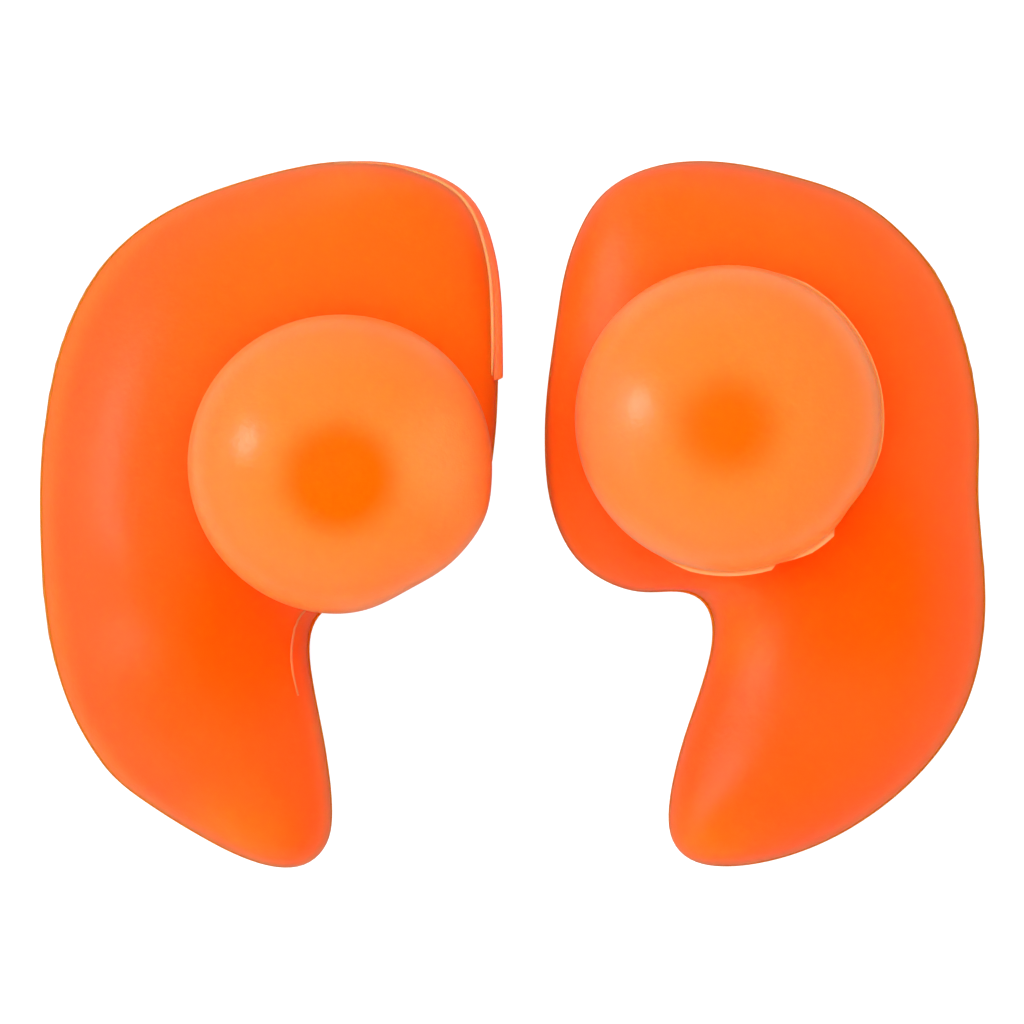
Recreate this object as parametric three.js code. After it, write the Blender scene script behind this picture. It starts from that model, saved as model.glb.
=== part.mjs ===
// A pair of moulded silicone ear plugs, lying on their backs with the ear tips up.
// Each plug is a comma-shaped body that fills the bowl of the ear, a short round stem that
// stands on the body, and a thin hollow dome on the stem that seals the ear canal.
// Millimetres, +Z up. The origin is under the middle of the pair, on the surface it lies on.
import * as THREE from "three";

// Body: heights are measured from the resting face.
const PARTING_Z = 3.4; // where the body is widest and the two mould halves meet
const CROWN_ABOVE_PARTING = 3.9; // how far the body's upper side stands over the parting
const BELLY_BELOW_PARTING = 4.0; // the lower side, before the resting face cuts it off flat
const OUTWARD_LEAN = 0.12; // share by which the upper side is higher outwards and lower inwards
const FULL_THICKNESS_HALF_WIDTH = 7.5; // narrower stations are thinner, down to the rounded tips
const SECTION_FULLNESS = 2.5; // superellipse exponent of a cross-section; 2 is an ellipse
const BODY_STATIONS = 44; // from the lobe's inner corner to the tip of the tail
const SECTION_POINTS = 40; // around one cross-section

// Seat: the body swells to this height under the stem.
const SEAT_Z = 7.85;
const SEAT_SPREAD = 3.4; // how far from the stem's middle the swelling fades

// Stem: a round post with domed ends, so that it can lean on its seat.
const STEM_RADIUS = 2.1;
const STEM_BASE_Z = SEAT_Z + 0.1;
const STEM_TOP_Z = 12.4;
const STEM_SIDES = 24;
const STEM_CAP_STEPS = 5;

// Dome: a thin shell that is open below, with a short hub inside it over the stem.
const DOME_RIM_Z = 10.3;
const DOME_HEIGHT = 4.7;
const CROWN_WALL = 1.3;
const RIM_WALL = 0.8;
const HUB_RADIUS = 2.3;
const HUB_FLARE = 0.9; // how much wider the hub is where it meets the shell's ceiling
const HUB_CLEARANCE = 0.15; // between the stem's top and the hub
const DOME_SIDES = 40;
const SHELL_STEPS = 10;

// The two plugs. An outline is the body's edge at the parting, seen from above, from the lobe's
// upper inner corner along the inner edge to the tail's tip and back along the outer edge.
// tailTip is the place in that list where the tail ends.
const PLUGS = [
  {
    side: "left",
    dome: { x: -7.2, y: 2.15, radius: 6.3 },
    tailTip: 14,
    outline: [
      [-2.0, 13.35],
      [-0.95, 10.75],
      [-0.68, 7.2],
      [-0.7, 4.4],
      [-1.1, 1.2],
      [-2.6, -1.6],
      [-4.6, -2.9],
      [-6.9, -3.5],
      [-8.25, -4.0],
      [-8.7, -5.2],
      [-8.5, -7.2],
      [-8.0, -9.8],
      [-7.7, -12.4],
      [-7.85, -14.0],
      [-9.1, -15.0],
      [-11.2, -14.65],
      [-13.6, -13.45],
      [-16.1, -11.9],
      [-17.1, -11.2],
      [-17.7, -10.4],
      [-18.7, -8.7],
      [-19.8, -5.4],
      [-20.17, -1.0],
      [-20.1, 3.2],
      [-19.25, 7.5],
      [-17.5, 10.8],
      [-15.0, 12.8],
      [-11.4, 14.2],
      [-7.2, 15.02],
      [-4.2, 14.6],
    ],
  },
  {
    side: "right",
    dome: { x: 8.9, y: 4.0, radius: 6.35 },
    tailTip: 14,
    outline: [
      [3.85, 13.7],
      [2.45, 11.2],
      [1.75, 7.6],
      [1.3, 3.6],
      [1.6, 0.2],
      [2.8, -2.1],
      [5.3, -3.3],
      [7.3, -3.1],
      [8.3, -3.7],
      [8.5, -5.2],
      [8.0, -7.2],
      [7.1, -9.9],
      [6.6, -12.3],
      [6.6, -13.7],
      [7.5, -14.7],
      [9.4, -14.9],
      [12.2, -14.3],
      [15.0, -12.9],
      [17.7, -10.6],
      [19.4, -7.9],
      [20.1, -4.6],
      [20.0, -1.2],
      [19.8, 0.8],
      [19.9, 3.6],
      [19.45, 6.8],
      [18.0, 10.45],
      [15.1, 13.2],
      [11.8, 14.4],
      [8.6, 15.0],
      [6.0, 14.8],
    ],
  },
];

const BODY_RUBBER = { color: 0xff6414, roughness: 0.5, metalness: 0 };
const STEM_RUBBER = { color: 0xff7010, roughness: 0.5, metalness: 0 };
const DOME_RUBBER = { color: 0xff9040, roughness: 0.45, metalness: 0 };

// A quantity's sign and its absolute value raised to a power, as a superellipse needs.
const signedPower = (value, power) => Math.sign(value) * Math.abs(value) ** power;

// Two rails run from the lobe's corner to the tail's tip, one on each side of the outline.
function railsOf(plug) {
  const points = plug.outline.map(([x, y]) => new THREE.Vector3(x, y, 0));
  const curve = new THREE.CatmullRomCurve3(points, true, "centripetal");
  curve.arcLengthDivisions = 2000;
  const lengths = curve.getLengths();
  const tipIndex = Math.round((plug.tailTip / points.length) * (lengths.length - 1));
  const tipShare = lengths[tipIndex] / lengths[lengths.length - 1];
  return {
    inner: (share) => curve.getPointAt(share * tipShare),
    outer: (share) => curve.getPointAt(1 - share * (1 - tipShare)),
    turn: THREE.ShapeUtils.isClockWise(points) ? -1 : 1,
  };
}

// How much of the full thickness a station has, by half its width.
function thicknessShare(halfWidth) {
  const short = 1 - Math.min(1, halfWidth / FULL_THICKNESS_HALF_WIDTH);
  return Math.sqrt(1 - short ** 2);
}

// The body is a sphere's grid of points pulled over the rails: the poles go to the lobe's corner
// and the tail's tip, and each ring between them becomes one cross-section.
function bodyGeometry(plug) {
  const rails = railsOf(plug);
  const geometry = new THREE.SphereGeometry(1, SECTION_POINTS, BODY_STATIONS);
  const { position, uv } = geometry.attributes;
  for (let i = 0; i < position.count; i++) {
    const share = 1 - uv.getY(i);
    const angle = rails.turn * 2 * Math.PI * uv.getX(i);
    const inner = rails.inner(share);
    const outer = rails.outer(share);
    const halfWidth = inner.distanceTo(outer) / 2;
    const across = signedPower(Math.cos(angle), 2 / SECTION_FULLNESS);
    const up = signedPower(Math.sin(angle), 2 / SECTION_FULLNESS);
    const point = inner.clone().lerp(outer, (1 - across) / 2);
    const depth = up > 0 ? CROWN_ABOVE_PARTING : BELLY_BELOW_PARTING;
    const lean = 1 - OUTWARD_LEAN * across;
    const pillowZ = PARTING_Z + up * depth * lean * thicknessShare(halfWidth);
    const fromStem = Math.hypot(point.x - plug.dome.x, point.y - plug.dome.y);
    const swelling = Math.max(0, up) * Math.exp(-((fromStem / SEAT_SPREAD) ** 2));
    const z = THREE.MathUtils.lerp(pillowZ, SEAT_Z, swelling);
    position.setXYZ(i, point.x, point.y, Math.max(0, z));
  }
  geometry.computeVertexNormals();
  return geometry;
}

function stemGeometry() {
  const straight = STEM_TOP_Z - STEM_BASE_Z - 2 * STEM_RADIUS;
  const geometry = new THREE.CapsuleGeometry(STEM_RADIUS, straight, STEM_CAP_STEPS, STEM_SIDES);
  return geometry.rotateX(Math.PI / 2).translate(0, 0, (STEM_BASE_Z + STEM_TOP_Z) / 2);
}

// A quarter ellipse from the rim (share 0) to the axis (share 1), as a point of a lathe profile.
function shellPoint(radius, height, share) {
  const angle = (share * Math.PI) / 2;
  return new THREE.Vector2(radius * Math.cos(angle), DOME_RIM_Z + height * Math.sin(angle));
}

// The dome's profile runs from the hub's middle out under the ceiling, down the inside of the
// shell to the rim, and back up over the outside to the apex.
function domeGeometry(radius) {
  const hubBottom = STEM_TOP_Z + HUB_CLEARANCE;
  const insideHeight = DOME_HEIGHT - CROWN_WALL;
  const insideRadius = radius - RIM_WALL;
  const flareRadius = HUB_RADIUS + HUB_FLARE;
  const profile = [new THREE.Vector2(0, hubBottom), new THREE.Vector2(HUB_RADIUS, hubBottom)];
  const ceilingShare = Math.acos(flareRadius / insideRadius) / (Math.PI / 2);
  for (let i = SHELL_STEPS; i >= 0; i--) {
    profile.push(shellPoint(insideRadius, insideHeight, (ceilingShare * i) / SHELL_STEPS));
  }
  const rimMiddle = radius - RIM_WALL / 2;
  profile.push(new THREE.Vector2(rimMiddle, DOME_RIM_Z - RIM_WALL / 4));
  for (let i = 0; i <= SHELL_STEPS; i++) {
    profile.push(shellPoint(radius, DOME_HEIGHT, i / SHELL_STEPS));
  }
  profile[profile.length - 1].x = 0;
  return new THREE.LatheGeometry(profile, DOME_SIDES).rotateX(Math.PI / 2);
}

function namedMesh(name, geometry, finish) {
  const mesh = new THREE.Mesh(geometry, new THREE.MeshStandardMaterial(finish));
  mesh.name = name;
  return mesh;
}

function plugGroup(plug) {
  const group = new THREE.Group();
  group.add(namedMesh(`${plug.side}_concha_body`, bodyGeometry(plug), BODY_RUBBER));
  const tip = new THREE.Group();
  tip.position.set(plug.dome.x, plug.dome.y, 0);
  tip.add(namedMesh(`${plug.side}_tip_stem`, stemGeometry(), STEM_RUBBER));
  tip.add(namedMesh(`${plug.side}_tip_dome`, domeGeometry(plug.dome.radius), DOME_RUBBER));
  group.add(tip);
  return group;
}

const pair = new THREE.Group();
for (const plug of PLUGS) pair.add(plugGroup(plug));
export default pair;
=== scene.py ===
"""A left and a right moulded silicone ear plug, finished round their CAD frame.

Each plug is one soft moulding with three parts that flex on each other: a comma-shaped body that
fills the bowl of the ear, a short stem, and a thin hollow dome that seals the ear canal.
Lengths are in metres, and in millimetres where a name ends in _mm.
"""

import logging
import math
from dataclasses import dataclass
from enum import Enum

import bmesh
import bpy
from mathutils import Matrix, Vector
from mathutils.bvhtree import BVHTree
from mathutils.kdtree import KDTree


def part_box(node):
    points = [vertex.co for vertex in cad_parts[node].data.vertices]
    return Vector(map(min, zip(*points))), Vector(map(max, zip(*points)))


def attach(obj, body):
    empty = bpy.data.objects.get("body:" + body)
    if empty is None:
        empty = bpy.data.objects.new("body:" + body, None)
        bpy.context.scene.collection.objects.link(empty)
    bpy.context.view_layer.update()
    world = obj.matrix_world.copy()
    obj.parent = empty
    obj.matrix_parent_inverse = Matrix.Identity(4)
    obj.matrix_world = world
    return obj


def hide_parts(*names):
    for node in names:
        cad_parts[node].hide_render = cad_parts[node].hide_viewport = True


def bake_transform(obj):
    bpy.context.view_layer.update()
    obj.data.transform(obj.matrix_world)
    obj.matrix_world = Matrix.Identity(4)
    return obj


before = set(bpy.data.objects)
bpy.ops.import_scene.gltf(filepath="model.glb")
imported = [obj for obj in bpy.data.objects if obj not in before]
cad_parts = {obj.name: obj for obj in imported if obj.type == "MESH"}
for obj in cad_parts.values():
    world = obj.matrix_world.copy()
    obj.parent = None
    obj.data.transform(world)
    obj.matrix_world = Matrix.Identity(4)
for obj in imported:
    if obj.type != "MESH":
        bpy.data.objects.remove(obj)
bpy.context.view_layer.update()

MM = 0.001
PARTING_MM = 3.4  # the height at which a body is widest and its two mould halves meet
WELD_MM = 0.002  # points of a CAD mesh that are closer than this are one point
AXIS_WELD_MM = 0.0005  # the same for a spun profile's ends, which meet on its axis
LEVEL_MM = 0.02  # points this close to a height are at that height
QUAD_BEND_DEG = 40.0  # two triangles make a quad if they bend less than this
QUAD_SKEW_DEG = 60.0  # and if the quad's corners are off square by less than this
OVAL_SIDES = 10  # round the section of a fin or seam
LOOP_SMOOTHING = 4  # rounds of smoothing along a seam's line
Colour = tuple[float, float, float]
log = logging.getLogger("ear_plugs")


class Side(Enum):
    """The ear that a plug is for."""

    LEFT = "left"
    RIGHT = "right"


# ---------------------------------------------------------------------------------------------
# Shader helpers
# ---------------------------------------------------------------------------------------------


class NodeBoard:
    """Adds and wires the nodes of one shader tree."""

    def __init__(self, tree: bpy.types.NodeTree) -> None:
        """Works on the given tree."""
        self.tree = tree

    def add(
        self, kind: str, settings: dict | None = None, inputs: dict | None = None
    ) -> bpy.types.Node:
        """Adds one node.

        Args:
            kind: Blender's type name of the node.
            settings: the node's own properties, by name.
            inputs: a value or an output socket for each input, by name or place.

        Returns:
            The new node.
        """
        node = self.tree.nodes.new(kind)
        for name, value in (settings or {}).items():
            setattr(node, name, value)
        for name, value in (inputs or {}).items():
            if isinstance(value, bpy.types.NodeSocket):
                self.tree.links.new(value, node.inputs[name])
            else:
                node.inputs[name].default_value = value
        return node

    def math(self, operation: str, *values: object) -> bpy.types.NodeSocket:
        """Returns the result of a Math node on values or sockets."""
        node = self.add("ShaderNodeMath", {"operation": operation}, dict(enumerate(values)))
        return node.outputs[0]

    def mix(self, factor: object, below: object, above: object) -> bpy.types.NodeSocket:
        """Mixes two colours.

        Args:
            factor: a value or socket, 0 for below and 1 for above.
            below: a colour or socket.
            above: a colour or socket.

        Returns:
            The mixed colour.
        """
        node = self.add("ShaderNodeMix", {"data_type": "RGBA"})
        sockets = {0: factor, 6: below, 7: above}
        for place, value in sockets.items():
            if isinstance(value, bpy.types.NodeSocket):
                self.tree.links.new(value, node.inputs[place])
            elif place == 0:
                node.inputs[place].default_value = value
            else:
                node.inputs[place].default_value = (*value, 1.0)
        return node.outputs[2]

    def ramp(
        self, value: object, low: object, high: object, start: float, end: float
    ) -> bpy.types.NodeSocket:
        """Eases a value from one range to another.

        Args:
            value: the value or socket.
            low: where the range starts.
            high: where it ends.
            start: the result at low.
            end: the result at high.

        Returns:
            The eased value.
        """
        node = self.add(
            "ShaderNodeMapRange",
            {"interpolation_type": "SMOOTHSTEP"},
            {"Value": value, "From Min": low, "From Max": high, "To Min": start, "To Max": end},
        )
        return node.outputs["Result"]

    def noise(
        self, place: object, scale: object, detail: float = 2.0, roughness: float = 0.5
    ) -> bpy.types.NodeSocket:
        """Makes a soft irregular pattern.

        Args:
            place: the coordinates' socket.
            scale: how fine the pattern is.
            detail: how many finer patterns are laid over it.
            roughness: how strong those are.

        Returns:
            The pattern, from 0 to 1.
        """
        inputs = {"Vector": place, "Scale": scale, "Detail": detail, "Roughness": roughness}
        return self.add("ShaderNodeTexNoise", inputs=inputs).outputs["Fac"]

    def vector(self, operation: str, *values: object) -> bpy.types.Node:
        """Returns a Vector Math node on values or sockets."""
        return self.add("ShaderNodeVectorMath", {"operation": operation}, dict(enumerate(values)))


def new_group(
    name: str, inputs: dict[str, str], outputs: dict[str, str]
) -> tuple[bpy.types.NodeTree, NodeBoard, bpy.types.Node, bpy.types.Node]:
    """Makes an empty shader node group.

    Args:
        name: the group's name.
        inputs: socket type by input name.
        outputs: socket type by output name.

    Returns:
        The tree, a board on it, its input node and its output node.
    """
    tree = bpy.data.node_groups.new(name, "ShaderNodeTree")
    for label, kind in inputs.items():
        tree.interface.new_socket(label, in_out="INPUT", socket_type=kind)
    for label, kind in outputs.items():
        tree.interface.new_socket(label, in_out="OUTPUT", socket_type=kind)
    board = NodeBoard(tree)
    return tree, board, board.add("NodeGroupInput"), board.add("NodeGroupOutput")


# A speck of dust, as shares of the distance between specks, and the cloud's middle range.
SPECK_CORE = 0.03
SPECK_EDGE = 0.07
CLOUD_LOW = 0.35
CLOUD_HIGH = 0.65
MOTTLE_WEIGHT = 2.0  # the mottle's height beside the grain's


def make_silicone_surface() -> bpy.types.NodeTree:
    """Builds the group for a moulded silicone skin: cloudy colour, dust, gloss and fine grain.

    Returns:
        The node group.
    """
    tree, board, given, result = new_group(
        "silicone_surface",
        {
            "Coordinates": "NodeSocketVector",
            "Cloud Scale": "NodeSocketFloat",
            "Grain Scale": "NodeSocketFloat",
            "Mottle Scale": "NodeSocketFloat",
            "Dust Scale": "NodeSocketFloat",
            "Dust Share": "NodeSocketFloat",
            "Gloss Low": "NodeSocketFloat",
            "Gloss High": "NodeSocketFloat",
        },
        {
            "Cloud": "NodeSocketFloat",
            "Dust": "NodeSocketFloat",
            "Roughness": "NodeSocketFloat",
            "Height": "NodeSocketFloat",
        },
    )
    coordinates = given.outputs["Coordinates"]
    cloud = board.noise(coordinates, given.outputs["Cloud Scale"], detail=3.0)
    grain = board.noise(coordinates, given.outputs["Grain Scale"], detail=4.0, roughness=0.6)
    mottle = board.noise(coordinates, given.outputs["Mottle Scale"])
    cells = board.add(
        "ShaderNodeTexVoronoi", inputs={"Vector": coordinates, "Scale": given.outputs["Dust Scale"]}
    )
    speck = board.ramp(cells.outputs["Distance"], SPECK_CORE, SPECK_EDGE, 1.0, 0.0)
    parts = board.add("ShaderNodeSeparateColor", inputs={"Color": cells.outputs["Color"]})
    chosen = board.math("LESS_THAN", parts.outputs["Red"], given.outputs["Dust Share"])
    spread = board.math("SUBTRACT", given.outputs["Gloss High"], given.outputs["Gloss Low"])
    made = {
        "Cloud": board.ramp(cloud, CLOUD_LOW, CLOUD_HIGH, 0.0, 1.0),
        "Dust": board.math("MULTIPLY", speck, chosen),
        "Roughness": board.math("MULTIPLY_ADD", cloud, spread, given.outputs["Gloss Low"]),
        "Height": board.math("MULTIPLY_ADD", mottle, MOTTLE_WEIGHT, grain),
    }
    for label, socket in made.items():
        tree.links.new(socket, result.inputs[label])
    return tree


def make_round_patch() -> bpy.types.NodeTree:
    """Builds the group for a soft round mask round a centre.

    Returns:
        The node group.
    """
    tree, board, given, result = new_group(
        "round_patch",
        {
            "Coordinates": "NodeSocketVector",
            "Centre": "NodeSocketVector",
            "Squeeze": "NodeSocketVector",
            "Inner": "NodeSocketFloat",
            "Outer": "NodeSocketFloat",
        },
        {"Mask": "NodeSocketFloat"},
    )
    away = board.vector("SUBTRACT", given.outputs["Coordinates"], given.outputs["Centre"])
    scaled = board.vector("MULTIPLY", away.outputs["Vector"], given.outputs["Squeeze"])
    distance = board.vector("LENGTH", scaled.outputs["Vector"]).outputs["Value"]
    mask = board.ramp(distance, given.outputs["Inner"], given.outputs["Outer"], 1.0, 0.0)
    tree.links.new(mask, result.inputs["Mask"])
    return tree


# ---------------------------------------------------------------------------------------------
# Finishes
# ---------------------------------------------------------------------------------------------


@dataclass(frozen=True)
class Patch:
    """A soft round region of another colour: where the silicone is thinner or thicker, or where light,
    shade, sheen or a highlight is painted.

    With inner_mm over outer_mm it is all that lies outside the circle. squeeze is the weight of
    each axis: without the third it runs through the whole height, and alone that one is a band.
    """

    centre_mm: tuple[float, float, float]
    inner_mm: float
    outer_mm: float
    colour: Colour
    strength: float = 1.0
    squeeze: tuple[float, float, float] = (1.0, 1.0, 0.0)


@dataclass(frozen=True)
class SiliconeFinish:
    """Translucent orange silicone with a satin skin."""

    name: str
    colour: Colour
    cloud_colour: Colour
    patches: tuple[Patch, ...]
    cloud_strength: float = 0.5
    scatter_mm: float = 2.0
    scatter_colours: Colour = (1.0, 0.3, 0.08)
    scatter_weight: float = 0.8
    gloss_low: float = 0.38
    gloss_high: float = 0.5
    grain_mm: float = 0.01
    dust_colour: Colour = (0.35, 0.06, 0.01)
    dust_share: float = 0.1
    cloud_scale: float = 190.0
    grain_scale: float = 5200.0
    mottle_scale: float = 1500.0
    dust_scale: float = 420.0
    refraction: float = 1.41

    def build(
        self, surface: bpy.types.NodeTree, patch_group: bpy.types.NodeTree
    ) -> bpy.types.Material:
        """Builds the material.

        Args:
            surface: the silicone_surface group.
            patch_group: the round_patch group.

        Returns:
            The material.
        """
        material = bpy.data.materials.new(self.name)
        material.use_nodes = True
        material.node_tree.nodes.clear()
        board = NodeBoard(material.node_tree)
        place = board.add("ShaderNodeTexCoord").outputs["Object"]
        skin = board.add(
            "ShaderNodeGroup",
            {"node_tree": surface},
            {
                "Coordinates": place,
                "Cloud Scale": self.cloud_scale,
                "Grain Scale": self.grain_scale,
                "Mottle Scale": self.mottle_scale,
                "Dust Scale": self.dust_scale,
                "Dust Share": self.dust_share,
                "Gloss Low": self.gloss_low,
                "Gloss High": self.gloss_high,
            },
        )
        cloud = board.math("MULTIPLY", skin.outputs["Cloud"], self.cloud_strength)
        colour = board.mix(cloud, self.colour, self.cloud_colour)
        for patch in self.patches:
            mask = board.add(
                "ShaderNodeGroup",
                {"node_tree": patch_group},
                {
                    "Coordinates": place,
                    "Centre": [value * MM for value in patch.centre_mm],
                    "Squeeze": patch.squeeze,
                    "Inner": patch.inner_mm * MM,
                    "Outer": patch.outer_mm * MM,
                },
            ).outputs["Mask"]
            colour = board.mix(board.math("MULTIPLY", mask, patch.strength), colour, patch.colour)
        colour = board.mix(skin.outputs["Dust"], colour, self.dust_colour)
        bump = board.add(
            "ShaderNodeBump",
            inputs={
                "Strength": 1.0,
                "Distance": self.grain_mm * MM,
                "Height": skin.outputs["Height"],
            },
        )
        shader = board.add(
            "ShaderNodeBsdfPrincipled",
            inputs={
                "Base Color": colour,
                "Roughness": skin.outputs["Roughness"],
                "Normal": bump.outputs["Normal"],
                "IOR": self.refraction,
                "Subsurface Weight": self.scatter_weight,
                "Subsurface Radius": self.scatter_colours,
                "Subsurface Scale": self.scatter_mm * MM,
            },
        )
        output = board.add("ShaderNodeOutputMaterial")
        board.tree.links.new(shader.outputs["BSDF"], output.inputs["Surface"])
        return material


# ---------------------------------------------------------------------------------------------
# Mesh helpers
# ---------------------------------------------------------------------------------------------


def merged_copy(node: str) -> bmesh.types.BMesh:
    """Copies a CAD node's mesh, with its loose triangles welded and paired into quads.

    Args:
        node: the CAD node's name.

    Returns:
        The copy.
    """
    bm = bmesh.new()
    bm.from_mesh(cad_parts[node].data)
    bmesh.ops.remove_doubles(bm, verts=bm.verts, dist=WELD_MM * MM)
    bmesh.ops.join_triangles(
        bm,
        faces=bm.faces,
        angle_face_threshold=math.radians(QUAD_BEND_DEG),
        angle_shape_threshold=math.radians(QUAD_SKEW_DEG),
    )
    return bm


def spin_profile(
    bm: bmesh.types.BMesh, profile: list[tuple[float, float]], centre: Vector, steps: int
) -> None:
    """Turns a profile into a closed solid of revolution about an upright axis.

    Args:
        bm: the mesh to add to.
        profile: (radius, height) of each point in metres, from the axis back to the axis.
        centre: a point on the axis.
        steps: faces round the axis.
    """
    line = [bm.verts.new((centre.x + radius, centre.y, height)) for radius, height in profile]
    edges = [bm.edges.new(pair) for pair in zip(line, line[1:])]
    before = set(bm.verts) - set(line)
    bmesh.ops.spin(
        bm,
        geom=line + edges,
        cent=(centre.x, centre.y, 0),
        axis=(0, 0, 1),
        angle=2 * math.pi,
        steps=steps,
        use_merge=True,
        use_duplicate=False,
    )
    made = [vert for vert in bm.verts if vert not in before]
    bmesh.ops.remove_doubles(bm, verts=made, dist=AXIS_WELD_MM * MM)
    faces = {face for vert in bm.verts if vert not in before for face in vert.link_faces}
    bmesh.ops.recalc_face_normals(bm, faces=list(faces))


def new_piece(name: str, bm: bmesh.types.BMesh, material: bpy.types.Material) -> bpy.types.Object:
    """Makes a smooth-shaded object of a mesh under construction, and frees it.

    Args:
        name: the piece's name.
        bm: its mesh.
        material: its material.

    Returns:
        The object, linked to the scene.
    """
    mesh = bpy.data.meshes.new(name)
    bm.to_mesh(mesh)
    bm.free()
    mesh.shade_smooth()
    mesh.materials.append(material)
    piece = bpy.data.objects.new(name, mesh)
    bpy.context.scene.collection.objects.link(piece)
    return piece


def settle_modifiers(piece: bpy.types.Object) -> None:
    """Applies all of a piece's modifiers to its mesh.

    Args:
        piece: the piece, which keeps its name and material.
    """
    graph = bpy.context.evaluated_depsgraph_get()
    settled = bpy.data.meshes.new_from_object(piece.evaluated_get(graph))
    settled.name = piece.name
    piece.modifiers.clear()
    old = piece.data
    piece.data = settled
    bpy.data.meshes.remove(old)


def add_subdivision(piece: bpy.types.Object, levels: int) -> None:
    """Leaves a live subdivision surface on a piece.

    Args:
        piece: the piece.
        levels: how often its faces are divided.
    """
    modifier = piece.modifiers.new("smooth_skin", "SUBSURF")
    modifier.levels = levels
    modifier.render_levels = levels


def section(
    place: Vector, along: Vector, outward: Vector, half_width_mm: float, height_mm: float
) -> Matrix:
    """Places one oval section of a fin or seam.

    Args:
        place: the middle of the section.
        along: the direction that the fin runs in.
        outward: the direction that it stands out in.
        half_width_mm: half its thickness.
        height_mm: how far it stands out.

    Returns:
        The matrix that turns a unit circle into the section.
    """
    turn = Matrix((along.cross(outward), outward, along)).transposed().to_4x4()
    size = Matrix.Diagonal((half_width_mm * MM, height_mm * MM, 1, 1))
    return Matrix.Translation(place) @ turn @ size


def swept(sections: list[Matrix], closed: bool) -> bmesh.types.BMesh:
    """Joins a row of oval sections into one solid.

    Args:
        sections: the matrix of each section.
        closed: whether the last section joins the first; if not, the ends are capped.

    Returns:
        The mesh.
    """
    bm = bmesh.new()
    rings = []
    for matrix in sections:
        ring = bmesh.ops.create_circle(
            bm, cap_ends=False, radius=1.0, segments=OVAL_SIDES, matrix=matrix
        )["verts"]
        rings.append(list(dict.fromkeys(edge for vert in ring for edge in vert.link_edges)))
    following = rings[1:] + rings[:1] if closed else rings[1:]
    for ring, after in zip(rings, following):
        bmesh.ops.bridge_loops(bm, edges=ring + after)
    bmesh.ops.holes_fill(bm, edges=[edge for edge in bm.edges if edge.is_boundary], sides=0)
    bmesh.ops.recalc_face_normals(bm, faces=bm.faces)
    return bm


def even_loop(points: list[Vector], count: int) -> list[Vector]:
    """Spaces points evenly round a closed outline, and smooths them a little.

    Args:
        points: the outline.
        count: how many points are wanted.

    Returns:
        The new outline.
    """
    spans = [(after - point).length for point, after in zip(points, points[1:] + points[:1])]
    step = sum(spans) / count
    even = []
    passed = 0.0
    for point, after, span in zip(points, points[1:] + points[:1], spans):
        while len(even) * step < passed + span and len(even) < count:
            even.append(point.lerp(after, (len(even) * step - passed) / span))
        passed += span
    for _ in range(LOOP_SMOOTHING):
        even = [
            (before + point * 2 + after) / 4
            for before, point, after in zip(even[-1:] + even[:-1], even, even[1:] + even[:1])
        ]
    return even


def smooth_route(points: list[Vector], steps: int) -> list[Vector]:
    """Runs a smooth curve, a Catmull-Rom spline, through some points.

    Args:
        points: the points.
        steps: the spans wanted.

    Returns:
        One more point than there are steps.
    """
    spans = len(points) - 1
    route = []
    for step in range(steps + 1):
        reach = step / steps * spans
        span = min(int(reach), spans - 1)
        t = reach - span
        before = points[max(span - 1, 0)]
        start, end = points[span], points[span + 1]
        after = points[min(span + 2, spans)]
        route.append(
            0.5
            * (
                2 * start
                + (end - before) * t
                + (2 * before - 5 * start + 4 * end - after) * t**2
                + (3 * start - before - 3 * end + after) * t**3
            )
        )
    return route


# ---------------------------------------------------------------------------------------------
# The plug's parts
# ---------------------------------------------------------------------------------------------


@dataclass(frozen=True)
class Dab:
    """A soft push on the body's upper side: up where rise_mm is positive, down where negative."""

    x_mm: float
    y_mm: float
    reach_mm: float
    rise_mm: float


@dataclass(frozen=True)
class Flash:
    """A thin fin of silicone that was left where the two halves of the mould met.

    The tapers are the shares of its length over which it rises and dies away.
    """

    name: str
    path_mm: tuple[tuple[float, float, float], ...]
    height_mm: float
    thickness_mm: float
    end_taper: float
    start_taper: float = 0.5
    lift_mm: float = 0.0


@dataclass(frozen=True)
class Lean:
    """How far a soft tip leans from upright, and which way."""

    tilt_deg: float
    towards_deg: float

    def turn(self, share: float = 1.0) -> Matrix:
        """Works out the rotation for a share of the lean.

        Args:
            share: 0 for upright, 1 for the whole lean.

        Returns:
            The rotation.
        """
        towards = math.radians(self.towards_deg)
        hinge = Vector((-math.sin(towards), math.cos(towards), 0))
        return Matrix.Rotation(math.radians(self.tilt_deg * share), 3, hinge)


@dataclass(frozen=True)
class RimBend:
    """A place where the dome's soft edge stands out (push_mm positive) or in (negative).

    The larger hold is, the closer the bend keeps to the edge.
    """

    at_deg: float
    spread_deg: float
    push_mm: float
    hold: float = 3.0


@dataclass(frozen=True)
class RimLip:
    """A stretch of the dome's edge with a thin untrimmed lip."""

    from_deg: float
    to_deg: float
    width_mm: float
    taper_deg: float = 12.0
    end_taper_deg: float = 12.0


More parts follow.
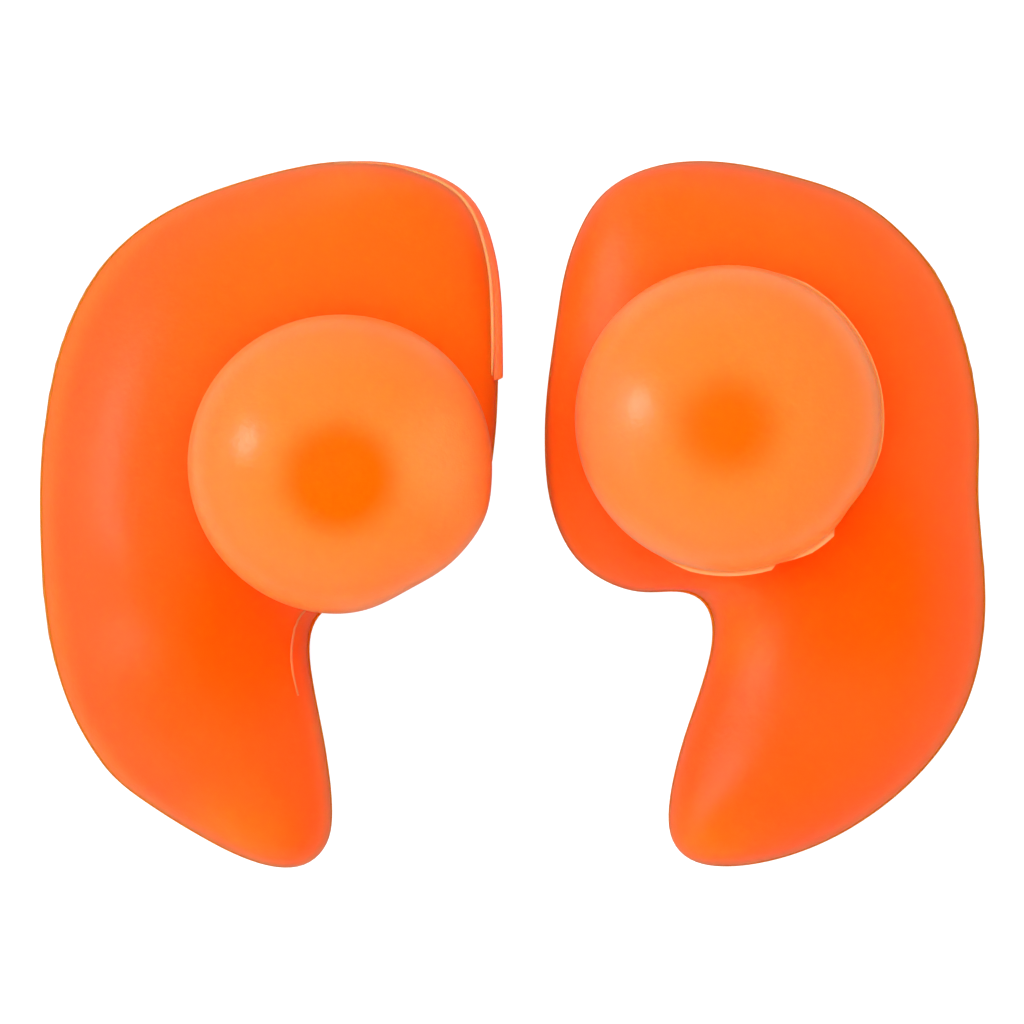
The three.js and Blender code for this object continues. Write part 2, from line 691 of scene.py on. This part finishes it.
@dataclass
class ConchaBody:
    """The comma-shaped body, with the lower half of the stem growing out of it.

    Its shoulders are rounder than the CAD body's, most of all on the outer side. Where the edge
    faces neither in nor out, they have even_edge_share of the extra drop.
    """

    side: Side
    dabs: tuple[Dab, ...]
    flashes: tuple[Flash, ...]
    parting_mm: float = PARTING_MM
    shoulder_drop_mm: float = 0.42
    outer_shoulder_drop_mm: float = 0.9
    even_edge_share: float = 0.25
    shoulder_reach_mm: float = 2.8
    voxel_mm: float = 0.26
    smooth_rounds: int = 8
    root_profile_mm: tuple[tuple[float, float], ...] = (
        (0.0, 6.0),
        (3.6, 6.0),
        (3.75, 6.7),
        (3.3, 7.35),
        (2.75, 7.8),
        (2.4, 8.3),
        (2.2, 9.0),
        (2.12, 9.8),
        (2.1, 10.6),
        (1.95, 10.8),
        (0.0, 10.85),
    )
    root_steps: int = 40
    flex_from_mm: float = 7.9
    flex_to_mm: float = 9.8
    fin_steps: int = 40
    least_fin_share: float = 0.12
    seam_steps: int = 300
    seam_width_mm: float = 0.14
    seam_height_mm: float = 0.06

    def shape(self, axis: Vector) -> bmesh.types.BMesh:
        """Copies the CAD body, sculpts its upper side and adds the stem's root as a second shell.

        Args:
            axis: a point on the stem's axis.

        Returns:
            The mesh, with its two shells overlapping.
        """
        bm = merged_copy(f"{self.side.value}_concha_body")
        bm.normal_update()
        parting = self.parting_mm * MM
        outward = Vector((-1 if self.side is Side.LEFT else 1, 0, 0))
        edge = [vert for vert in bm.verts if abs(vert.co.z - parting) < LEVEL_MM * MM]
        edge_tree = KDTree(len(edge))
        for place, vert in enumerate(edge):
            edge_tree.insert(vert.co, place)
        edge_tree.balance()
        facing = [self.even_edge_share + vert.normal.dot(outward) for vert in edge]
        for vert in bm.verts:
            above = min(1.0, max(0.0, (vert.co.z - parting) / MM))
            _, place, _ = edge_tree.find(Vector((vert.co.x, vert.co.y, parting)))
            inset = math.hypot(vert.co.x - edge[place].co.x, vert.co.y - edge[place].co.y) / MM
            outerness = min(1.0, max(0.0, facing[place]))
            drop = self.shoulder_drop_mm + self.outer_shoulder_drop_mm * outerness
            vert.co.z -= above * drop * MM * math.exp(-((inset / self.shoulder_reach_mm) ** 2))
            for dab in self.dabs:
                away = math.hypot(vert.co.x / MM - dab.x_mm, vert.co.y / MM - dab.y_mm)
                vert.co.z += above * dab.rise_mm * MM * math.exp(-((away / dab.reach_mm) ** 2))
        profile = [(radius * MM, height * MM) for radius, height in self.root_profile_mm]
        spin_profile(bm, profile, axis, self.root_steps)
        return bm

    def build(
        self, axis: Vector, material: bpy.types.Material, flash_material: bpy.types.Material
    ) -> list[bpy.types.Object]:
        """Makes the body's skin, its flash fins and its parting seam.

        Args:
            axis: a point on the stem's axis.
            material: the body's silicone.
            flash_material: the same silicone where it is as thin as a fin.

        Returns:
            The skin, then the fins and the seam.
        """
        name = self.side.value
        skin = new_piece(f"{name}_body_skin", self.shape(axis), material)
        add_subdivision(skin, 2)
        remesh = skin.modifiers.new("one_skin", "REMESH")
        remesh.mode = "VOXEL"
        remesh.voxel_size = self.voxel_mm * MM
        settle_modifiers(skin)
        self.relax(skin)
        skin.data.shade_smooth()
        fins = [self.fin(flash, skin, flash_material) for flash in self.flashes]
        fins.append(self.seam(skin, material))
        add_subdivision(skin, 1)
        start, end = axis.copy(), axis.copy()
        start.z = self.flex_from_mm * MM
        end.z = self.flex_to_mm * MM
        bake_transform(skin)
        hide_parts(f"{name}_concha_body")
        for fin in fins:
            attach(fin, f"{name}_plug")
        return [skin, *fins]

    def relax(self, skin: bpy.types.Object) -> None:
        """Smooths the remeshed skin, and keeps its back flat.

        Args:
            skin: the body's skin.
        """
        bm = bmesh.new()
        bm.from_mesh(skin.data)
        for _ in range(self.smooth_rounds):
            bmesh.ops.smooth_vert(
                bm, verts=bm.verts, factor=0.5, use_axis_x=True, use_axis_y=True, use_axis_z=True
            )
        for vert in bm.verts:
            vert.co.z = max(0.0, vert.co.z)
        bmesh.ops.recalc_face_normals(bm, faces=bm.faces)
        bm.to_mesh(skin.data)
        bm.free()

    def fin(
        self, flash: Flash, skin: bpy.types.Object, material: bpy.types.Material
    ) -> bpy.types.Object:
        """Makes one flash fin along the body's surface.

        Args:
            flash: where it runs and how far it stands out.
            skin: the finished body.
            material: the fin's silicone.

        Returns:
            The fin.
        """
        bm = bmesh.new()
        bm.from_mesh(skin.data)
        tree = BVHTree.FromBMesh(bm)
        bm.free()
        last = self.fin_steps
        route = smooth_route([Vector(point) * MM for point in flash.path_mm], last)
        sections = []
        for place, point in enumerate(route):
            share = place / last
            grow = min(1.0, share / flash.start_taper, (1 - share) / flash.end_taper)
            height = flash.height_mm * max(self.least_fin_share, math.sin(grow * math.pi / 2))
            seat, normal, _, _ = tree.find_nearest(point)
            along = (route[min(place + 1, last)] - route[max(place - 1, 0)]).normalized()
            outward = (normal - along * normal.dot(along)).normalized()
            seat += outward * flash.lift_mm * MM
            sections.append(section(seat, along, outward, flash.thickness_mm / 2, height))
        return new_piece(f"{self.side.value}_{flash.name}", swept(sections, closed=False), material)

    def seam(self, skin: bpy.types.Object, material: bpy.types.Material) -> bpy.types.Object:
        """Makes the fine raised line that the mould's parting leaves all round the body.

        Args:
            skin: the finished body.
            material: the body's silicone.

        Returns:
            The seam.
        """
        bm = bmesh.new()
        bm.from_mesh(skin.data)
        cut = bmesh.ops.bisect_plane(
            bm,
            geom=bm.verts[:] + bm.edges[:] + bm.faces[:],
            plane_co=(0, 0, self.parting_mm * MM),
            plane_no=(0, 0, 1),
        )
        line = {part for part in cut["geom_cut"] if isinstance(part, bmesh.types.BMEdge)}
        edge = max(line, key=lambda part: part.verts[0].co.x)
        vert = edge.verts[0]
        outline = []
        while edge:
            line.discard(edge)
            vert = edge.other_vert(vert)
            outline.append(vert.co.copy())
            edge = next((part for part in vert.link_edges if part in line), None)
        bm.free()
        outline = even_loop(outline, self.seam_steps)
        up = Vector((0, 0, 1))
        area = sum(a.x * b.y - a.y * b.x for a, b in zip(outline, outline[1:] + outline[:1]))
        sections = []
        for place, point in enumerate(outline):
            along = (outline[(place + 1) % len(outline)] - outline[place - 1]).normalized()
            outward = along.cross(up) * math.copysign(1, area)
            sections.append(section(point, along, outward, self.seam_width_mm / 2, self.seam_height_mm))
        return new_piece(f"{self.side.value}_parting_seam", swept(sections, closed=True), material)


@dataclass
class TipStem:
    """The upper half of the stem, flared where it meets the dome's ceiling."""

    side: Side
    profile_mm: tuple[tuple[float, float], ...] = (
        (0.0, 10.3),
        (1.9, 10.35),
        (2.04, 10.5),
        (2.04, 11.3),
        (2.12, 12.0),
        (2.4, 12.5),
        (2.8, 12.8),
        (3.2, 13.08),
        (3.3, 13.3),
        (2.6, 13.6),
        (0.0, 13.9),
    )
    steps: int = 64
    lean_from_mm: float = 10.6
    lean_to_mm: float = 12.6
    flex_from_mm: float = 11.2
    flex_to_mm: float = 12.8

    def build(
        self, axis: Vector, rim_middle: Vector, lean: Lean, material: bpy.types.Material
    ) -> bpy.types.Object:
        """Makes the stem's upper half.

        Args:
            axis: a point on the stem's axis.
            rim_middle: the point that the dome leans about.
            lean: the dome's lean, which the stem's top follows.
            material: the stem's silicone.

        Returns:
            The piece.
        """
        name = self.side.value
        bm = bmesh.new()
        profile = [(radius * MM, height * MM) for radius, height in self.profile_mm]
        spin_profile(bm, profile, axis, self.steps)
        for vert in bm.verts:
            share = (vert.co.z / MM - self.lean_from_mm) / (self.lean_to_mm - self.lean_from_mm)
            turn = lean.turn(min(1.0, max(0.0, share)))
            vert.co = rim_middle + turn @ (vert.co - rim_middle)
        stem = new_piece(f"{name}_stem_neck", bm, material)
        add_subdivision(stem, 1)
        start, end = axis.copy(), axis.copy()
        start.z = self.flex_from_mm * MM
        end.z = self.flex_to_mm * MM
        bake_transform(stem)
        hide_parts(f"{name}_tip_stem")
        return stem


@dataclass
class TipDome:
    """The thin hollow dome, open below, with its soft and slightly uneven edge.

    lip_shares are the heights of the untrimmed lip's two edges, as shares of lip_rise_mm.
    """

    side: Side
    lean: Lean
    bends: tuple[RimBend, ...]
    lips: tuple[RimLip, ...]
    rim_bead_mm: float = 0.2
    crown_wall_mm: float = 1.3
    rim_wall_mm: float = 0.75
    rim_fullness: float = 0.5
    lip_rise_mm: float = 0.16
    lip_root_mm: float = 0.01
    lip_shares: tuple[float, float] = (0.7, 0.2)
    axis_gap_mm: float = 0.1
    shell_steps: int = 30
    rim_steps: int = 5
    steps: int = 180

    def profile(self, radius: float, rim: float, apex: float) -> list[tuple[float, float]]:
        """Draws the shell's section.

        Args:
            radius: the dome's outer radius.
            rim: the height of its edge.
            apex: the height of its top.

        Returns:
            (radius, height) from the top, round the edge, to the middle of the ceiling.
        """
        points = []
        height = apex - rim
        for step in range(self.shell_steps + 1):
            angle = step / self.shell_steps * math.pi / 2
            points.append((radius * math.sin(angle), rim + height * math.cos(angle)))
        lip = self.lip_rise_mm * MM
        points[-1] = (radius, rim + lip)
        points += [(radius + self.lip_root_mm * MM, rim + share * lip) for share in self.lip_shares]
        half_wall = self.rim_wall_mm * MM / 2
        bead = half_wall * self.rim_fullness
        for step in range(1, self.rim_steps):
            angle = step / self.rim_steps * math.pi
            across = radius - half_wall + half_wall * math.cos(angle)
            points.append((across, rim - bead * math.sin(angle)))
        inner_radius = radius - 2 * half_wall
        inner_height = height - self.crown_wall_mm * MM
        for step in range(self.shell_steps, -1, -1):
            angle = step / self.shell_steps * math.pi / 2
            points.append((inner_radius * math.sin(angle), rim + inner_height * math.cos(angle)))
        return points

    def lip_width(self, angle_deg: float) -> float:
        """Works out how far the untrimmed lip stands out.

        Args:
            angle_deg: the place on the rim, from +X towards +Y.

        Returns:
            Its width there, in metres.
        """
        width = 0.0
        for lip in self.lips:
            if lip.from_deg < angle_deg < lip.to_deg:
                rise = min(1.0, (angle_deg - lip.from_deg) / lip.taper_deg)
                fall = min(1.0, (lip.to_deg - angle_deg) / lip.end_taper_deg)
                width = max(width, lip.width_mm * MM * rise * fall)
        return width

    def rim_middle(self) -> Vector:
        """Finds the middle of the dome's rim.

        Returns:
            The point.
        """
        low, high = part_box(f"{self.side.value}_tip_dome")
        middle = (low + high) / 2
        middle.z = low.z + self.rim_bead_mm * MM
        return middle

    def build(self, material: bpy.types.Material) -> bpy.types.Object:
        """Makes the dome.

        Args:
            material: the dome's silicone.

        Returns:
            The piece.
        """
        name = self.side.value
        low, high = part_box(f"{name}_tip_dome")
        centre = self.rim_middle()
        radius = (high.x - low.x) / 2
        bm = bmesh.new()
        spin_profile(bm, self.profile(radius, centre.z, high.z), centre, self.steps)
        lip_top = centre.z + self.lip_rise_mm * MM
        for vert in bm.verts:
            away = Vector((vert.co.x - centre.x, vert.co.y - centre.y, 0))
            if away.length < self.axis_gap_mm * MM:
                continue
            angle = math.degrees(math.atan2(away.y, away.x))
            share = min(1.0, away.length / radius)
            push = 0.0
            for bend in self.bends:
                turn = (angle - bend.at_deg + 180) % 360 - 180
                near = math.exp(-((turn / bend.spread_deg) ** 2))
                push += bend.push_mm * MM * near * share**bend.hold
            if away.length > radius and vert.co.z < lip_top:
                push += self.lip_width(angle)
            vert.co += away.normalized() * push
        bmesh.ops.rotate(bm, cent=centre, matrix=self.lean.turn(), verts=bm.verts)
        dome = new_piece(f"{name}_dome_skin", bm, material)
        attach(dome, f"{name}_dome")
        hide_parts(f"{name}_tip_dome")
        return dome


@dataclass
class EarPlug:
    """One whole plug."""

    side: Side
    body: ConchaBody
    stem: TipStem
    dome: TipDome
    body_finish: SiliconeFinish
    dome_finish: SiliconeFinish
    flash_finish: SiliconeFinish | None = None

    def build(
        self, surface: bpy.types.NodeTree, patch_group: bpy.types.NodeTree
    ) -> list[bpy.types.Object]:
        """Makes the plug's pieces.

        Args:
            surface: the silicone_surface group.
            patch_group: the round_patch group.

        Returns:
            The pieces.
        """
        low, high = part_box(f"{self.side.value}_tip_stem")
        axis = (low + high) / 2
        silicone = self.body_finish.build(surface, patch_group)
        thin_silicone = silicone
        if self.flash_finish:
            thin_silicone = self.flash_finish.build(surface, patch_group)
        pieces = self.body.build(axis, silicone, thin_silicone)
        pieces.append(self.stem.build(axis, self.dome.rim_middle(), self.dome.lean, silicone))
        pieces.append(self.dome.build(self.dome_finish.build(surface, patch_group)))
        return pieces


# ---------------------------------------------------------------------------------------------
# The studio
# ---------------------------------------------------------------------------------------------


@dataclass(frozen=True)
class SoftBox:
    """A soft studio light that faces the plugs, and shows in their gloss if it is glossy.

    azimuth_deg is counted from +X towards +Y.
    """

    name: str
    azimuth_deg: float
    elevation_deg: float
    power: float
    distance: float = 0.6
    size: float = 0.5
    glossy: bool = False

    def build(self, target: Vector) -> None:
        """Makes the light.

        Args:
            target: the point that it faces.
        """
        data = bpy.data.lights.new(self.name, "AREA")
        data.shape = "DISK"
        data.size = self.size
        data.energy = self.power
        lamp = bpy.data.objects.new(self.name, data)
        lamp.visible_glossy = self.glossy
        bpy.context.scene.collection.objects.link(lamp)
        turn, lift = math.radians(self.azimuth_deg), math.radians(self.elevation_deg)
        level = math.cos(lift)
        away = Vector((math.cos(turn) * level, math.sin(turn) * level, math.sin(lift)))
        lamp.location = target + away * self.distance
        lamp.rotation_euler = away.to_track_quat("Z", "Y").to_euler()


@dataclass
class Studio:
    """A plain pale floor, soft light and a camera straight above the plugs."""

    boxes: tuple[SoftBox, ...]
    aim_height: float = 0.008
    floor_size: float = 3.0
    paper_low: float = 0.26
    paper_high: float = 0.28
    paper_roughness: float = 0.9
    paper_gloss: float = 0.1
    fibre_scale: float = 900.0
    horizon_strength: float = 0.95
    zenith_strength: float = 0.005
    horizon_height: float = 0.0
    zenith_height: float = 0.62
    shade_side: float = 0.25
    backdrop_strength: float = 1.0
    floor_glow: float = 0.9
    camera_distance: float = 0.3
    view_width_mm: float = 43.445
    view_centre_mm: tuple[float, float] = (-0.064, 0.127)
    sensor: float = 36.0
    nearest: float = 0.01
    farthest: float = 10.0

    def build(self) -> None:
        """Makes the floor, the lights, the sky and the camera."""
        self.make_floor()
        self.make_sky()
        for box in self.boxes:
            box.build(Vector((0, 0, self.aim_height)))
        self.make_camera()
        bpy.context.scene.view_settings.view_transform = "Standard"

    def make_floor(self) -> None:
        """Makes the floor."""
        bm = bmesh.new()
        bmesh.ops.create_grid(bm, x_segments=4, y_segments=4, size=self.floor_size / 2)
        material = bpy.data.materials.new("floor_paper")
        material.use_nodes = True
        board = NodeBoard(material.node_tree)
        shader = material.node_tree.nodes["Principled BSDF"]
        place = board.add("ShaderNodeTexCoord").outputs["Object"]
        fibres = board.noise(place, self.fibre_scale)
        tone = board.mix(fibres, (self.paper_low,) * 3, (self.paper_high,) * 3)
        board.tree.links.new(tone, shader.inputs["Base Color"])
        shader.inputs["Roughness"].default_value = self.paper_roughness
        shader.inputs["Specular IOR Level"].default_value = self.paper_gloss
        seen = board.add("ShaderNodeLightPath").outputs["Is Camera Ray"]
        glow = board.math("MULTIPLY", seen, self.floor_glow)
        board.tree.links.new(glow, shader.inputs["Emission Strength"])
        shader.inputs["Emission Color"].default_value = (1, 1, 1, 1)
        floor = new_piece("floor", bm, material)

    def make_sky(self) -> None:
        """Makes a white sky that is dimmer overhead, and an even white where the camera sees it."""
        world = bpy.data.worlds.new("soft_sky")
        bpy.context.scene.world = world
        world.use_nodes = True
        board = NodeBoard(world.node_tree)
        background = world.node_tree.nodes["Background"]
        direction = board.add("ShaderNodeTexCoord").outputs["Generated"]
        parts = board.add("ShaderNodeSeparateXYZ", inputs={"Vector": direction}).outputs
        overhead = board.ramp(
            parts["Z"],
            self.horizon_height,
            self.zenith_height,
            self.horizon_strength,
            self.zenith_strength,
        )
        sideways = board.ramp(parts["X"], -1.0, 1.0, 1.0, self.shade_side)
        sky = board.math("MULTIPLY", overhead, sideways)
        seen = board.add("ShaderNodeLightPath").outputs["Is Camera Ray"]
        backdrop = board.math("MULTIPLY", seen, self.backdrop_strength)
        unseen = board.math("SUBTRACT", 1.0, seen)
        strength = board.math("MULTIPLY_ADD", sky, unseen, backdrop)
        board.tree.links.new(strength, background.inputs["Strength"])
        background.inputs["Color"].default_value = (1, 1, 1, 1)

    def make_camera(self) -> None:
        """Makes the camera, which looks straight down with the lobes at the top of the view."""
        data = bpy.data.cameras.new("camera")
        data.sensor_width = self.sensor
        data.lens = self.sensor * self.camera_distance / (self.view_width_mm * MM)
        data.clip_start = self.nearest
        data.clip_end = self.farthest
        camera = bpy.data.objects.new("camera", data)
        bpy.context.scene.collection.objects.link(camera)
        x_mm, y_mm = self.view_centre_mm
        camera.location = (x_mm * MM, y_mm * MM, PARTING_MM * MM + self.camera_distance)
        bpy.context.scene.camera = camera


# ---------------------------------------------------------------------------------------------
# This pair
# ---------------------------------------------------------------------------------------------

ORANGE = (0.97, 0.088, 0.005)
WARM_ORANGE = (0.97, 0.096, 0.008)
# painted shade: deeper orange where the body faces away from the light or lies by the dome
DEEP_SHADE_ORANGE = (0.97, 0.078, 0.0)
# painted light: paler orange that lifts the shade falling on the upper body
PAINTED_LIGHT_ORANGE = (0.97, 0.114, 0.005)
# painted light: a paler glow for lifted shade, lit edges and a highlight
PAINTED_GLOW_ORANGE = (0.97, 0.135, 0.004)
# painted sheen on the body's steep sides and edges, partly thinner silicone
EDGE_SHEEN_ORANGE = (0.97, 0.14, 0.008)
AMBER = (0.97, 0.11, 0.0)
APRICOT = (0.97, 0.178, 0.022)
PEACH = (0.97, 0.19, 0.032)
# paler peach: the domes' rim band, partly thinner wall and partly painted sheen; also painted light and
# the flash's cloud
RIM_PEACH = (0.97, 0.23, 0.05)
# painted light on the side of a dome that faces the light
PAINTED_LIGHT_PEACH = (0.97, 0.2, 0.06)
# painted highlight: the light line along a dome's very edge and along the flash's bead
HIGHLIGHT_PEACH = (0.97, 0.33, 0.13)
# lighter orange of the thin flash: partly thin silicone, partly painted sheen
FLASH_ORANGE = (0.97, 0.16, 0.07)
LEVEL_BAND = (0.0, 0.0, 1.0)
# height of the painted highlight line on the lobe's flash bead
FLASH_EDGE_MM = 4.4
LEFT_DOME_MM = (-7.2, 2.15, 0.0)
RIGHT_DOME_MM = (8.9, 4.0, 0.0)


def parting_sheen_band(strength: float) -> Patch:
    """Returns the lighter band round a body's sides: painted sheen where the steep sides get little light,
    partly thinner silicone towards the parting.
    """
    return Patch((0.0, 0.0, PARTING_MM), 0.4, 1.9, EDGE_SHEEN_ORANGE, strength, LEVEL_BAND)


def body_finish(side: Side, *patches: Patch) -> SiliconeFinish:
    """Returns the finish of a body and its stem."""
    return SiliconeFinish(f"{side.value}_body_silicone", ORANGE, WARM_ORANGE, patches)


def flash_finish(side: Side) -> SiliconeFinish:
    """Returns the finish of a thin flash: lighter than its body, partly as thin silicone letting more
    light through, partly as painted sheen.
    """
    # painted highlight: a light line along the bead
    edge = Patch((0.0, 0.0, FLASH_EDGE_MM), 0.15, 0.3, HIGHLIGHT_PEACH, squeeze=LEVEL_BAND)
    return SiliconeFinish(f"{side.value}_flash_silicone", FLASH_ORANGE, RIM_PEACH, (edge,), scatter_mm=0.5)


def dome_finish(side: Side, *patches: Patch) -> SiliconeFinish:
    """Makes the finish of a dome, which is thinner and glossier than its body and free of dust.

    Args:
        side: the plug's side.
        patches: where it is lighter or deeper.

    Returns:
        The finish.
    """
    return SiliconeFinish(
        f"{side.value}_dome_silicone",
        APRICOT,
        PEACH,
        patches,
        cloud_strength=0.3,
        scatter_mm=1.2,
        gloss_low=0.26,
        gloss_high=0.36,
        dust_share=0.0,
    )


def left_plug() -> EarPlug:
    """Returns the plug for the left ear."""
    side = Side.LEFT
    return EarPlug(
        side,
        ConchaBody(
            side,
            dabs=(
                Dab(-17.9, -4.4, 2.2, -0.45),
                Dab(-15.9, -10.4, 2.0, -0.35),
                Dab(-15.1, -2.0, 1.9, 0.2),
                Dab(-13.6, -5.8, 1.7, 0.5),
                Dab(-12.1, -10.2, 1.7, 0.35),
                Dab(-10.8, -4.2, 2.4, -0.4),
            ),
            flashes=(
                Flash(
                    "lobe_flash",
                    (
                        (-7.6, 14.95, 3.8),
                        (-4.2, 14.6, 3.8),
                        (-2.0, 13.3, 3.8),
                        (-0.95, 10.7, 3.8),
                        (-0.68, 7.2, 3.8),
                        (-0.62, 5.7, 3.8),
                    ),
                    height_mm=0.31,
                    thickness_mm=0.7,
                    start_taper=0.55,
                    end_taper=0.03,
                ),
                Flash(
                    "lobe_seam",
                    (
                        (-4.6, 14.5, 4.35),
                        (-3.2, 14.1, 4.35),
                        (-2.1, 13.1, 4.35),
                        (-1.1, 10.6, 4.35),
                        (-0.8, 7.2, 4.35),
                        (-0.75, 5.9, 4.35),
                    ),
                    height_mm=0.1,
                    thickness_mm=0.2,
                    start_taper=0.3,
                    end_taper=0.3,
                    lift_mm=0.02,
                ),
                Flash(
                    "notch_flash",
                    ((-8.55, -4.3, 5.0), (-8.85, -5.2, 5.2), (-9.05, -6.4, 5.2), (-9.0, -7.6, 5.0)),
                    height_mm=0.07,
                    thickness_mm=0.12,
                    end_taper=0.4,
                ),
            ),
        ),
        TipStem(side),
        TipDome(
            side,
            Lean(9.5, -69.0),
            bends=(
                RimBend(-61.0, 17.0, -0.3),
                RimBend(-20.0, 12.0, 0.14),
                RimBend(90.0, 40.0, -0.1),
            ),
            lips=(),
        ),
        body_finish(
            side,
            # painted light lifting the shade over the lobe
            Patch((-5.0, 11.0, 0.0), 3.0, 15.0, PAINTED_LIGHT_ORANGE),
            # painted sheen round the sides, partly thinner silicone
            parting_sheen_band(1.0),
            # painted light lifting the shade between the lobe's edge and the dome
            Patch((-2.5, 6.5, 0.0), 1.0, 5.0, PAINTED_GLOW_ORANGE),
            # painted sheen on the tail's lower edge, partly thinner silicone there
            Patch((-12.5, -14.5, 0.0), 0.5, 4.0, PAINTED_GLOW_ORANGE),
            # painted sheen on the lobe's top edge, partly thinner silicone
            Patch((-7.5, 15.5, 0.0), 0.5, 3.0, EDGE_SHEEN_ORANGE, 0.7),
            # painted shade in the valley by the dome, partly thicker silicone
            Patch((-11.0, -4.6, 0.0), 1.5, 5.5, DEEP_SHADE_ORANGE),
        ),
        dome_finish(
            side,
            # pale rim band: partly thinner wall, partly painted sheen
            Patch(LEFT_DOME_MM, 6.2, 5.2, RIM_PEACH),
            # painted highlight along the dome's very edge
            Patch(LEFT_DOME_MM, 6.42, 6.34, HIGHLIGHT_PEACH),
            # painted light lifting the shade on the dome's side away from the light
            Patch((-2.6, 2.4, 0.0), 0.5, 3.5, RIM_PEACH, 0.8),
            Patch((-7.15, 1.54, 0.0), 1.4, 3.1, AMBER),
        ),
        flash_finish(side),
    )


def right_plug() -> EarPlug:
    """Returns the plug for the right ear."""
    side = Side.RIGHT
    return EarPlug(
        side,
        ConchaBody(side, dabs=(Dab(11.2, -4.6, 1.8, 0.25), Dab(10.9, -10.8, 1.8, 0.2)), flashes=()),
        TipStem(side),
        TipDome(
            side,
            Lean(3.2, 180.0),
            bends=(RimBend(-36.0, 8.0, -0.12),),
            lips=(
                RimLip(-24.0, 72.0, 0.1),
                RimLip(-70.0, -46.0, 0.2, end_taper_deg=1.6),
                RimLip(-116.0, -73.0, 0.17, end_taper_deg=1.0),
            ),
        ),
        body_finish(
            side,
            # painted light lifting the shade over the lobe
            Patch((8.0, 13.0, 0.0), 3.0, 15.0, PAINTED_LIGHT_ORANGE, 0.7),
            # painted sheen round the sides, partly thinner silicone
            parting_sheen_band(0.5),
            # painted sheen on the tail's lower edge, partly thinner silicone there
            Patch((7.5, -15.0, 0.0), 0.5, 4.5, PAINTED_GLOW_ORANGE, 0.7),
            # painted highlight on the slope below the dome, by the notch
            Patch((9.2, -4.6, 0.0), 0.5, 3.0, PAINTED_GLOW_ORANGE, 0.8),
            # painted shade on the outer slope, which faces away from the light
            Patch((14.0, -2.6, 0.0), 2.0, 6.0, DEEP_SHADE_ORANGE),
        ),
        dome_finish(
            side,
            # pale rim band: partly thinner wall, partly painted sheen
            Patch(RIGHT_DOME_MM, 6.2, 5.2, RIM_PEACH),
            # painted highlight along the dome's very edge
            Patch(RIGHT_DOME_MM, 6.45, 6.38, HIGHLIGHT_PEACH),
            # painted light on the dome's side that faces the light
            Patch((3.3, 3.8, 0.0), 0.5, 3.5, PAINTED_LIGHT_PEACH, 0.7),
            Patch((8.72, 3.66, 0.0), 0.8, 3.1, AMBER),
        ),
    )


def main() -> None:
    """Builds the studio and both plugs, and notes their size."""
    logging.basicConfig(level=logging.INFO, format="%(message)s")
    Studio(
        boxes=(
            SoftBox("left_soft_box", 171.0, 30.5, power=0.6, distance=0.5, size=0.12, glossy=True),
            SoftBox("overhead_fill", 150.0, 82.0, power=6.6, size=0.7),
            SoftBox("right_fill", -5.0, 14.0, power=1.5),
            SoftBox("near_fill", -95.0, 14.0, power=1.5),
            SoftBox("far_fill", 90.0, 14.0, power=1.0),
        )
    ).build()
    surface = make_silicone_surface()
    patch_group = make_round_patch()
    for plug in (left_plug(), right_plug()):
        for piece in plug.build(surface, patch_group):
            log.info("%s: %d faces", piece.name, len(piece.data.polygons))


if __name__ == "__main__":
    main()
